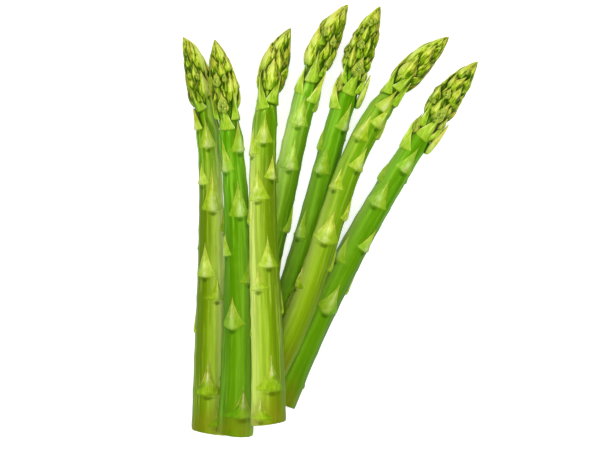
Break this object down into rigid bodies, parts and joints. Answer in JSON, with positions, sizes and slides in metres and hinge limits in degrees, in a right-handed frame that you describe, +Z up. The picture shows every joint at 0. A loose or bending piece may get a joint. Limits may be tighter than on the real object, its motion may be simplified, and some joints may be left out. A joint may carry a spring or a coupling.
{
  "type": "asparagus bunch",
  "caption": "Loose bunch of green asparagus spears lying fanned out, with pointed bracts on tapering stems, scaly bud heads and cut lower ends.",
  "frame": {"origin": "on the surface the bunch lies on, under the middle of its bounding box", "axes": "+Z up, +Y from the cut ends to the heads, +X to the side the spears fan out to"},
  "size_m": [0.1412, 0.2055, 0.0462],
  "materials": {
    "yellow_green_flesh": "satin natural skin",
    "deep_green_flesh": "satin natural skin",
    "pale_green_flesh": "satin natural skin"
  },
  "bodies": {
    "root": {"spear_1": "yellow_green_flesh", "spear_2": "deep_green_flesh", "spear_3": "yellow_green_flesh", "spear_4": "pale_green_flesh", "spear_5": "deep_green_flesh", "spear_6": "yellow_green_flesh", "spear_7": "deep_green_flesh"}
  },
  "joints": []
}
